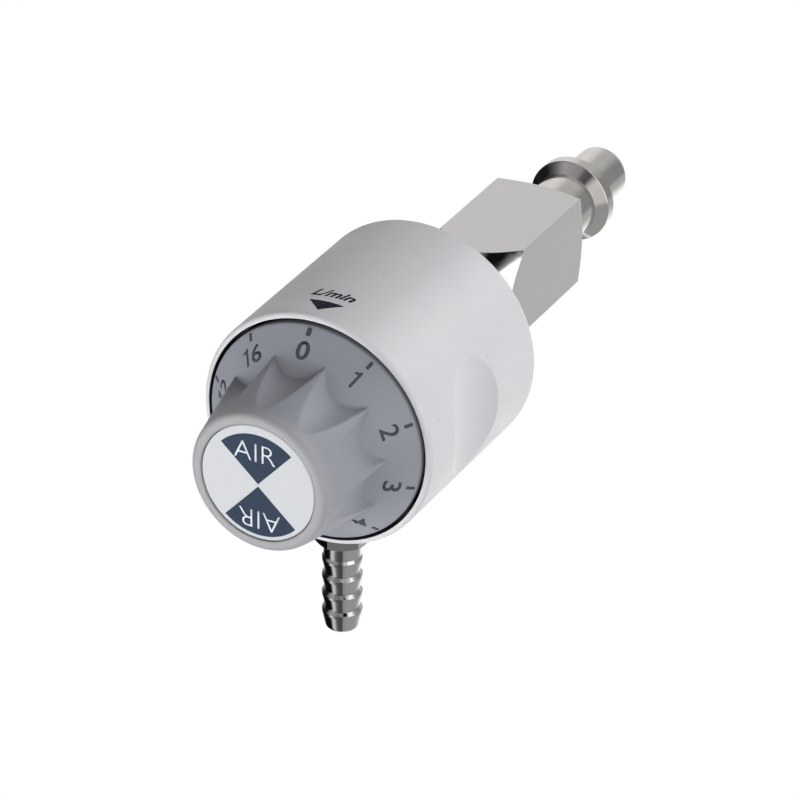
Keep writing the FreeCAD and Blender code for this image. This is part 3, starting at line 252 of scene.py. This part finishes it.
moulded, into, outof = group(
    "moulded_surface",
    [("Vector", "NodeSocketVector", None), ("Grain mm", "NodeSocketFloat", 0.12)],
    [("Height", "NodeSocketFloat"), ("Mottle", "NodeSocketFloat"), ("Handling", "NodeSocketFloat")])
pitch = add(moulded, "ShaderNodeMath", [(0, 1.0 / MM), (1, into.outputs["Grain mm"])],
            operation="DIVIDE")
grain = add(moulded, "ShaderNodeTexNoise", [("Vector", into.outputs["Vector"]),
                                            ("Scale", pitch.outputs[0]), ("Detail", 2.0),
                                            ("Roughness", 0.6)])
flow = add(moulded, "ShaderNodeTexNoise", [("Vector", into.outputs["Vector"]), ("Scale", 55.0),
                                           ("Detail", 3.0), ("Distortion", 0.6)])
touch = add(moulded, "ShaderNodeTexNoise", [("Vector", into.outputs["Vector"]), ("Scale", 130.0),
                                            ("Detail", 5.0), ("Roughness", 0.62)])
marks = add(moulded, "ShaderNodeMapRange", [("Value", touch.outputs["Fac"]), ("From Min", 0.42),
                                            ("From Max", 0.72)])
moulded.links.new(grain.outputs["Fac"], outof.inputs["Height"])
moulded.links.new(flow.outputs["Fac"], outof.inputs["Mottle"])
moulded.links.new(marks.outputs["Result"], outof.inputs["Handling"])

soft_edge, into, outof = group(
    "soft_edge", [("Radius mm", "NodeSocketFloat", 0.2)], [("Normal", "NodeSocketVector")])
reach = add(soft_edge, "ShaderNodeMath", [(0, into.outputs["Radius mm"]), (1, MM)],
            operation="MULTIPLY")
bevel = add(soft_edge, "ShaderNodeBevel", [("Radius", reach.outputs[0])], samples=6)
soft_edge.links.new(bevel.outputs["Normal"], outof.inputs["Normal"])


def rounded_edges(tree, radius_mm):
    """Normals that round a piece's edges to a radius."""
    return add(tree, "ShaderNodeGroup", [("Radius mm", radius_mm)], node_tree=soft_edge).outputs["Normal"]


def plastic(name, low, high, smooth, rough, grain_mm, depth, edge_mm):
    """Moulded plastic: slight flow mottle, eroded grain, handling that evens the satin."""
    finish, tree, shader, where = material(name, high, rough)
    surface = add(tree, "ShaderNodeGroup", [("Vector", where), ("Grain mm", grain_mm)],
                  node_tree=moulded)
    tint(tree, shader, surface.outputs["Mottle"], low, high)
    vary(tree, shader.inputs["Roughness"], surface.outputs["Handling"], rough, smooth)
    relief(tree, shader, surface.outputs["Height"], depth, 0.02 * MM, rounded_edges(tree, edge_mm))
    return finish, tree, shader, where


MOUTH_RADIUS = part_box("dial_knob")[1].x + 0.75 * MM
MOUTH_SHADE_DEPTH = 6.0 * MM
housing_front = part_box("housing_shell")[0].y
housing_plastic, tree, shader, where = plastic(
    "housing_plastic", low=(0.605, 0.602, 0.63), high=(0.655, 0.65, 0.675), smooth=0.26, rough=0.36,
    grain_mm=0.14, depth=0.5, edge_mm=0.12)
parts = add(tree, "ShaderNodeSeparateXYZ", [("Vector", where)])
flat = add(tree, "ShaderNodeCombineXYZ", [("X", parts.outputs["X"]), ("Z", parts.outputs["Z"])])
radius = add(tree, "ShaderNodeVectorMath", [(0, flat.outputs["Vector"])], operation="LENGTH")
inside = add(tree, "ShaderNodeMapRange", [("Value", radius.outputs["Value"]),
                                          ("From Min", MOUTH_RADIUS + 0.12 * MM),
                                          ("From Max", MOUTH_RADIUS + 0.02 * MM)])
near = add(tree, "ShaderNodeMath", [(0, parts.outputs["Y"]), (1, housing_front + MOUTH_SHADE_DEPTH)],
           operation="LESS_THAN")
mouth_shade = add(tree, "ShaderNodeMath", [(0, inside.outputs["Result"]), (1, near.outputs[0])],
            operation="MULTIPLY")
# painted shade: the mouth's wall, just outside the knob's edge and within 6 mm of the front, is painted
# near-black
stain(tree, shader, mouth_shade.outputs[0], (0.03, 0.03, 0.032))
wear("housing_shell", housing_plastic)

# Pointer and unit on the housing: pad-printed in blue-black ink just behind the rim. Ink keeps a trace
# of thickness, so each mark is a thin closed skin laid on the plastic.
INK_LIFT = 0.015 * MM
INK_THICK = 0.03 * MM
POINTER_CORNERS = ((-3.98, 1.9), (3.98, 1.9), (0.02, -1.9))
POINTER_CENTRE = (0.0, 0.6)


def ink(name, colour, rough, gloss=0.2):
    """Pad-printing ink: a little uneven in colour and gloss."""
    finish, tree, shader, where = material(name, colour, rough)
    shader.inputs["Specular IOR Level"].default_value = gloss
    patchy = add(tree, "ShaderNodeTexNoise", [("Vector", where), ("Scale", 2600.0), ("Detail", 3.0)])
    tint(tree, shader, patchy.outputs["Fac"], colour, tuple(c * 1.25 for c in colour))
    vary(tree, shader.inputs["Roughness"], patchy.outputs["Fac"], rough - 0.08, rough + 0.1)
    return finish


def lay_on(piece, place, target):
    """Set a flat mark on a surface's tangent, press it onto the surface and give it its thickness."""
    piece.matrix_world = place
    bpy.context.view_layer.update()
    press = piece.modifiers.new("press", "SHRINKWRAP")
    press.target = nodes[target]
    press.wrap_method = "PROJECT"
    press.use_project_z = True
    press.use_negative_direction = True
    press.use_positive_direction = True
    press.project_limit = 2.5 * MM
    press.wrap_mode = "ABOVE_SURFACE"
    press.offset = INK_LIFT
    skin = piece.modifiers.new("skin", "SOLIDIFY")
    skin.thickness = INK_THICK
    skin.offset = 1.0
    bpy.context.view_layer.objects.active = piece
    for step in ("press", "skin"):
        bpy.ops.object.modifier_apply(modifier=step)
    bpy.ops.object.transform_apply(location=True, rotation=True, scale=True)


def flat_text(name, words, weight, width, height, slant=0.0):
    """Lettering as a flat mesh about its own centre, drawn to a width and a height."""
    bpy.ops.object.select_all(action="DESELECT")
    bpy.ops.object.text_add()
    piece = bpy.context.object
    piece.name = name
    piece.data.body = words
    piece.data.size = 1.0
    piece.data.shear = slant
    piece.data.offset = weight
    piece.data.resolution_u = 6
    bpy.ops.object.convert(target="MESH")
    bpy.ops.object.mode_set(mode="EDIT")
    bpy.ops.mesh.select_all(action="SELECT")
    bpy.ops.mesh.remove_doubles(threshold=0.0005)
    bpy.ops.object.mode_set(mode="OBJECT")
    low = Vector(min(v.co[i] for v in piece.data.vertices) for i in range(3))
    high = Vector(max(v.co[i] for v in piece.data.vertices) for i in range(3))
    size = high - low
    to_size = Matrix.Diagonal((width / size.x, height / size.y, 1.0, 1.0))
    piece.data.transform(to_size @ Matrix.Translation(-(low + high) / 2))
    return piece


def on_wall(clock, behind):
    """Tangent frame on the housing's round wall at a clock angle and a distance behind its front."""
    angle = math.radians(clock)
    outward = Vector((math.sin(angle), 0.0, math.cos(angle)))
    along = Vector((math.cos(angle), 0.0, -math.sin(angle)))
    rearward = Vector((0.0, 1.0, 0.0))
    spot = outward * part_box("housing_shell")[1].z + rearward * (housing_front + behind)
    return Matrix.Translation(spot) @ Matrix((along, rearward, outward)).transposed().to_4x4()


housing_ink = ink("housing_ink", (0.006, 0.009, 0.020), 0.38, gloss=0.04)
bpy.ops.object.select_all(action="DESELECT")
bpy.ops.mesh.primitive_circle_add(vertices=3, radius=1.0, fill_type="TRIFAN")
pointer = bpy.context.object
pointer.name = "flow_pointer"
for vertex, corner in zip(pointer.data.vertices, (POINTER_CENTRE, *POINTER_CORNERS)):
    vertex.co = (corner[0] * MM, corner[1] * MM, 0.0)
bpy.ops.object.mode_set(mode="EDIT")
bpy.ops.mesh.select_all(action="SELECT")
bpy.ops.mesh.subdivide(number_cuts=5)
bpy.ops.mesh.normals_make_consistent(inside=False)
bpy.ops.object.mode_set(mode="OBJECT")
lay_on(pointer, on_wall(-2.7, 4.65 * MM), "housing_shell")
pointer.data.materials.append(housing_ink)
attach(pointer, "meter_body")

unit = flat_text("flow_unit", "L/min", weight=0.022, width=9.5 * MM, height=2.8 * MM, slant=0.34)
lay_on(unit, on_wall(-3.0, 9.9 * MM), "housing_shell")
unit.data.materials.append(housing_ink)
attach(unit, "meter_body")

# Selector knob: darker grey moulding in one piece, with a skirt that carries the scale and a grip with
# ten scoops. Its eroded grain is finer than the housing's, and the ring round the label is painted paler:
# painted light for the front light that the ring catches.
PALE_FROM = 3.4 * MM
PALE_FULL = 1.2 * MM
knob_plastic, tree, shader, where = plastic(
    "knob_plastic", low=(0.268, 0.280, 0.318), high=(0.292, 0.304, 0.342), smooth=0.36, rough=0.46,
    grain_mm=0.10, depth=0.6, edge_mm=0.9)
knob_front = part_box("dial_knob")[0].y
parts = add(tree, "ShaderNodeSeparateXYZ", [("Vector", where)])
collar_painted_light = add(tree, "ShaderNodeMapRange", [("Value", parts.outputs["Y"]),
                                           ("From Min", knob_front + PALE_FROM),
                                           ("From Max", knob_front + PALE_FULL)])
# painted light: the front of the knob, the ring round the label, is painted paler, fading out 3.4 mm back
stain(tree, shader, collar_painted_light.outputs["Result"], (0.325, 0.326, 0.342))
wear("dial_knob", knob_plastic)

# Scale: ten ticks and numerals pad-printed on the knob's sloping skirt, tops outward. Zero is bolder.
# Clockwise from the top of the dial the steps are 0 to 4 by ones, then 6, 8, 10, 12 and 16.
STEPS = ("0", "1", "2", "3", "4", "6", "8", "10", "12", "16")
CLICK = 360.0 / len(STEPS)
SCALE_CLOCK = -2.5
TICK_LEAD = 0.2
NUMERAL_RADIUS = 20.0 * MM
NUMERAL_HEIGHT = 3.85 * MM
TICK_RADIUS = 22.95 * MM
TICK_LENGTH = 1.8 * MM
SKIRT_SLOPE = 0.871
SKIRT_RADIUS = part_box("dial_knob")[1].x
SKIRT_FRONT = housing_front - 0.3 * MM
ONE_CORNERS = ((-0.075, -0.50), (0.075, -0.50), (0.075, 0.50), (-0.02, 0.50), (-0.09, 0.41),
               (-0.28, 0.32), (-0.28, 0.20), (-0.075, 0.24))
scale_ink = ink("scale_ink", (0.055, 0.064, 0.082), 0.5)


def on_skirt(clock, radius):
    """Tangent frame on the knob's skirt at a clock angle and a radius."""
    angle = math.radians(clock)
    along = Vector((math.cos(angle), 0.0, -math.sin(angle)))
    outward = Vector((math.sin(angle), SKIRT_SLOPE, math.cos(angle))).normalized()
    normal = along.cross(outward)
    depth = SKIRT_FRONT - (SKIRT_RADIUS - radius) * SKIRT_SLOPE
    spot = Vector((radius * math.sin(angle), depth, radius * math.cos(angle)))
    return Matrix.Translation(spot) @ Matrix((along, outward, normal)).transposed().to_4x4()


def numeral_one():
    """The numeral one with its flag, flat about the middle of its stem."""
    bpy.ops.object.select_all(action="DESELECT")
    bpy.ops.mesh.primitive_circle_add(vertices=len(ONE_CORNERS), radius=1.0, fill_type="NGON")
    piece = bpy.context.object
    for vertex, corner in zip(piece.data.vertices, ONE_CORNERS):
        vertex.co = (corner[0] * NUMERAL_HEIGHT, corner[1] * NUMERAL_HEIGHT, 0.0)
    return piece


for count, step in enumerate(STEPS):
    clock = SCALE_CLOCK + CLICK * count
    bold = step == "0"
    if step == "1":
        numeral = numeral_one()
    else:
        numeral = flat_text(f"scale_{step}", step[-1], weight=0.020 if bold else 0.012,
                            width=(0.76 if bold else 0.68) * NUMERAL_HEIGHT, height=NUMERAL_HEIGHT)
    if len(step) > 1:
        numeral.data.transform(Matrix.Translation((0.31 * NUMERAL_HEIGHT, 0.0, 0.0)))
        one = numeral_one()
        one.data.transform(Matrix.Translation((-0.36 * NUMERAL_HEIGHT, 0.0, 0.0)))
        bpy.ops.object.select_all(action="DESELECT")
        one.select_set(True)
        numeral.select_set(True)
        bpy.context.view_layer.objects.active = numeral
        bpy.ops.object.join()
    numeral.name = f"scale_{step}"
    lay_on(numeral, on_skirt(clock, NUMERAL_RADIUS), "dial_knob")
    bpy.ops.object.select_all(action="DESELECT")
    bpy.ops.mesh.primitive_plane_add(size=1.0)
    tick = bpy.context.object
    tick.name = f"tick_{step}"
    tick.data.transform(Matrix.Diagonal(((1.1 if bold else 0.75) * MM, TICK_LENGTH, 1.0, 1.0)))
    bpy.ops.object.mode_set(mode="EDIT")
    bpy.ops.mesh.select_all(action="SELECT")
    bpy.ops.mesh.bevel(offset=(0.45 if bold else 0.16) * MM, segments=4, affect="VERTICES")
    bpy.ops.object.mode_set(mode="OBJECT")
    lay_on(tick, on_skirt(clock + TICK_LEAD, TICK_RADIUS), "dial_knob")
    for mark in (numeral, tick):
        mark.data.materials.append(scale_ink)
        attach(mark, "dial")

# Gas label: a white polycarbonate disc set in the front of the knob, with two dark quadrants and the
# gas name printed across each, the lower one upside down.
GAS_NAME_WIDTH = 9.3 * MM
GAS_NAME_HEIGHT = 4.0 * MM
label_white, *_ = plastic(
    "label_white", low=(0.495, 0.51, 0.531), high=(0.507, 0.522, 0.543), smooth=0.27, rough=0.30,
    grain_mm=0.5, depth=0.1, edge_mm=0.12)
wear("gas_label", label_white)
label_field = ink("label_field", (0.022, 0.036, 0.062), 0.34)
wear("label_quadrants", label_field)
letter_white = ink("letter_white", (0.62, 0.645, 0.68), 0.34)
label_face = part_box("gas_label")[0].y
facing = Matrix(((1.0, 0.0, 0.0), (0.0, 0.0, -1.0), (0.0, 1.0, 0.0))).to_4x4()
for name, turned, across, height in (("gas_name_top", 0.0, -0.7, 6.8),
                                     ("gas_name_bottom", 180.0, 0.3, -8.45)):
    words = flat_text(name, "AIR", weight=-0.016, width=GAS_NAME_WIDTH, height=GAS_NAME_HEIGHT)
    spot = Matrix.Translation((across * MM, label_face, height * MM))
    upright = Matrix.Rotation(math.radians(turned), 4, "Y")
    lay_on(words, spot @ upright @ facing, "label_quadrants")
    words.data.materials.append(letter_white)
    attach(words, "dial")

# Hose tail: turned brass, chromium plated bright, screwed up into the valve body. The plating shows
# the tool's fine rings and a few rub marks from the tube.
lathe, into, outof = group(
    "lathe_rings",
    [("Vector", "NodeSocketVector", None), ("Ring mm", "NodeSocketFloat", 0.12)],
    [("Height", "NodeSocketFloat"), ("Tone", "NodeSocketFloat"), ("Rub", "NodeSocketFloat")])
parts = add(lathe, "ShaderNodeSeparateXYZ", [("Vector", into.outputs["Vector"])])
flat = add(lathe, "ShaderNodeCombineXYZ", [("X", parts.outputs["X"]), ("Z", parts.outputs["Z"])])
radius = add(lathe, "ShaderNodeVectorMath", [(0, flat.outputs["Vector"])], operation="LENGTH")
along = add(lathe, "ShaderNodeCombineXYZ", [("X", radius.outputs["Value"]), ("Y", parts.outputs["Y"])])
pitch = add(lathe, "ShaderNodeMath", [(0, 1.0 / MM), (1, into.outputs["Ring mm"])], operation="DIVIDE")
rings = add(lathe, "ShaderNodeTexNoise", [("Vector", along.outputs["Vector"]),
                                          ("Scale", pitch.outputs[0]), ("Detail", 3.0),
                                          ("Roughness", 0.7)])
broad = add(lathe, "ShaderNodeTexNoise", [("Vector", along.outputs["Vector"]), ("Scale", 900.0),
                                          ("Detail", 2.0)])
rubbed = add(lathe, "ShaderNodeTexNoise", [("Vector", into.outputs["Vector"]), ("Scale", 260.0),
                                           ("Detail", 6.0), ("Roughness", 0.65)])
rub = add(lathe, "ShaderNodeMapRange", [("Value", rubbed.outputs["Fac"]), ("From Min", 0.45),
                                        ("From Max", 0.75)])
lathe.links.new(rings.outputs["Fac"], outof.inputs["Height"])
lathe.links.new(broad.outputs["Fac"], outof.inputs["Tone"])
lathe.links.new(rub.outputs["Result"], outof.inputs["Rub"])


def turned_metal(name, low, high, smooth, rough, ring_mm, depth, centre=(0.0, 0.0, 0.0),
                 lean=(0.0, 0.0, 0.0)):
    """Turned metal: rings about the piece's own axis, tone from pass to pass, rubbed patches."""
    finish, tree, shader, where = material(name, high, rough, 1.0)
    placed = add(tree, "ShaderNodeMapping", [("Vector", where), ("Location", centre),
                                             ("Rotation", lean)])
    surface = add(tree, "ShaderNodeGroup", [("Vector", placed.outputs["Vector"]), ("Ring mm", ring_mm)],
                  node_tree=lathe)
    tint(tree, shader, surface.outputs["Tone"], low, high)
    vary(tree, shader.inputs["Roughness"], surface.outputs["Rub"], rough, smooth)
    relief(tree, shader, surface.outputs["Height"], depth, 0.01 * MM, rounded_edges(tree, 0.12))
    return finish


nozzle_low, nozzle_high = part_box("hose_nozzle")
nozzle_middle = (nozzle_low + nozzle_high) / 2
chrome = turned_metal(
    "chrome", low=(0.66, 0.65, 0.65), high=(0.74, 0.73, 0.73), smooth=0.02, rough=0.06, ring_mm=0.16,
    depth=0.15, centre=(-nozzle_middle.x, 0.0, nozzle_middle.y), lean=(math.radians(90.0), 0.0, 0.0))
wear("hose_nozzle", chrome)

# Square block: brass bar milled on four sides and turned at both ends, then nickel plated. The milled
# sides are satin with a faint lengthwise grain, and the turned ends are polished.
MILLED_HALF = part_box("inlet_block")[1].x - 0.01 * MM
satin_nickel, tree, shader, where = material("satin_nickel", (0.72, 0.71, 0.70), 0.30, 1.0)
long_grain = add(tree, "ShaderNodeMapping", [("Vector", where), ("Scale", (5200.0, 240.0, 5200.0))])
brushed = add(tree, "ShaderNodeTexNoise", [("Vector", long_grain.outputs["Vector"]), ("Scale", 1.0),
                                           ("Detail", 3.0), ("Roughness", 0.6)])
cloud = add(tree, "ShaderNodeTexNoise", [("Vector", where), ("Scale", 120.0), ("Detail", 5.0)])
parts = add(tree, "ShaderNodeSeparateXYZ", [("Vector", where)])
sides = [add(tree, "ShaderNodeMath", [(0, parts.outputs[axis])], operation="ABSOLUTE")
         for axis in ("X", "Z")]
outermost = add(tree, "ShaderNodeMath", [(0, sides[0].outputs[0]), (1, sides[1].outputs[0])],
                operation="MAXIMUM")
milled = add(tree, "ShaderNodeMath", [(0, outermost.outputs[0]), (1, MILLED_HALF)],
             operation="GREATER_THAN")
ends = add(tree, "ShaderNodeGroup", [("Vector", where), ("Ring mm", 0.15)], node_tree=lathe)
satin = add(tree, "ShaderNodeMapRange", [("Value", brushed.outputs["Fac"]), ("To Min", 0.24),
                                         ("To Max", 0.38)])
bright = add(tree, "ShaderNodeMapRange", [("Value", ends.outputs["Rub"]), ("To Min", 0.09),
                                          ("To Max", 0.05)])
gloss, height = [
    add(tree, "ShaderNodeMix", [(0, milled.outputs[0]), (2, turned_end), (3, flat_side)],
        data_type="FLOAT")
    for turned_end, flat_side in ((bright.outputs["Result"], satin.outputs["Result"]),
                                  (ends.outputs["Height"], brushed.outputs["Fac"]))]
tree.links.new(gloss.outputs[0], shader.inputs["Roughness"])
tint(tree, shader, cloud.outputs["Fac"], (0.69, 0.69, 0.70), (0.73, 0.73, 0.74))
relief(tree, shader, height.outputs[0], 0.35, 0.01 * MM, rounded_edges(tree, 0.15))
wear("inlet_block", satin_nickel)

# Probe: stainless steel bar, turned in one piece with the neck, the locking flange and the rounded
# tip, and screwed into the rear of the block. The tool's rings run round it.
probe_steel = turned_metal(
    "probe_steel", low=(0.66, 0.65, 0.64), high=(0.74, 0.73, 0.72), smooth=0.06, rough=0.12,
    ring_mm=0.2, depth=0.3)
wear("probe", probe_steel)

# Lock nut and washer, cover screws, spindle, orifice disc and small screws: turned steel, zinc plated.
# The nut and washer clamp the housing to the valve body, and the rest sit inside it.
zinc_steel = turned_metal(
    "zinc_steel", low=(0.52, 0.53, 0.55), high=(0.62, 0.63, 0.65), smooth=0.22, rough=0.34,
    ring_mm=0.25, depth=0.5)
for name in ("lock_nut", "lock_washer", "spindle", "cover_screws", "orifice_disc", "click_screw",
             "knob_screw"):
    wear(name, zinc_steel)

# Valve body and front cover: free-cutting brass, turned and painted near-black as painted shade, so that
# nothing glints through the gap round the knob. The tool's rings show through the thin black.
# painted shade: the brass behind the gap is painted near-black, standing in for the shade inside the
# housing
dark_brass = turned_metal(
    "dark_brass", low=(0.010, 0.009, 0.008), high=(0.022, 0.019, 0.016), smooth=0.45, rough=0.6,
    ring_mm=0.3, depth=0.6)
for name in ("valve_body", "front_cover"):
    wear(name, dark_brass)

# Click wheel: free-cutting brass with ten notches in its rim, left as turned, dulled by handling and
# fixed on the spindle behind the knob.
turned_brass = turned_metal(
    "turned_brass", low=(0.58, 0.40, 0.17), high=(0.72, 0.53, 0.25), smooth=0.22, rough=0.36,
    ring_mm=0.3, depth=0.6)
wear("click_wheel", turned_brass)

# Filter disc: small bronze beads sintered into a matt, porous disc, which sits in the block and keeps
# dirt from the orifices.
sintered_bronze, tree, shader, where = material("sintered_bronze", (0.42, 0.28, 0.14), 0.6, 1.0)
beads = add(tree, "ShaderNodeTexVoronoi", [("Vector", where), ("Scale", 4200.0)])
# painted shade: each bead is painted darker towards its edge, where the pores between the beads lie in
# shade
tint(tree, shader, beads.outputs["Distance"], (0.48, 0.33, 0.17), (0.16, 0.10, 0.05))
vary(tree, shader.inputs["Roughness"], beads.outputs["Distance"], 0.45, 0.8)
relief(tree, shader, beads.outputs["Distance"], 0.8, -0.15 * MM)
wear("inlet_filter", sintered_bronze)

# Springs and clip: spring steel, drawn smooth along the wire or strip. The clip snaps onto the
# spindle, the coil pushes the seat and the leaf is screwed to the cover.
spring_steel, tree, shader, where = material("spring_steel", (0.42, 0.42, 0.43), 0.24, 1.0)
drawn = add(tree, "ShaderNodeTexNoise", [("Vector", where), ("Scale", 1500.0), ("Detail", 4.0)])
tint(tree, shader, drawn.outputs["Fac"], (0.36, 0.36, 0.38), (0.50, 0.50, 0.51))
vary(tree, shader.inputs["Roughness"], drawn.outputs["Fac"], 0.18, 0.34)
relief(tree, shader, drawn.outputs["Fac"], 0.25, 0.01 * MM)
for name in ("disc_clip", "seat_spring", "click_spring"):
    wear(name, spring_steel)

# Seals: black nitrile rings with a bloom of grease, moulded and laid in their grooves, and the pale
# PTFE seat and washer, turned from rod.
seal_rubber, tree, shader, where = material("seal_rubber", (0.012, 0.012, 0.013), 0.55)
bloom = add(tree, "ShaderNodeTexNoise", [("Vector", where), ("Scale", 700.0), ("Detail", 5.0)])
tint(tree, shader, bloom.outputs["Fac"], (0.008, 0.008, 0.009), (0.035, 0.035, 0.038))
vary(tree, shader.inputs["Roughness"], bloom.outputs["Fac"], 0.38, 0.7)
relief(tree, shader, bloom.outputs["Fac"], 0.2, 0.02 * MM)
for name in ("cover_oring", "spindle_oring", "inlet_oring", "probe_oring"):
    wear(name, seal_rubber)
seat_plastic, *_ = plastic(
    "seat_plastic", low=(0.72, 0.71, 0.66), high=(0.80, 0.79, 0.75), smooth=0.32, rough=0.45,
    grain_mm=0.2, depth=0.3, edge_mm=0.1)
for name in ("seat_seal", "nozzle_washer"):
    wear(name, seat_plastic)
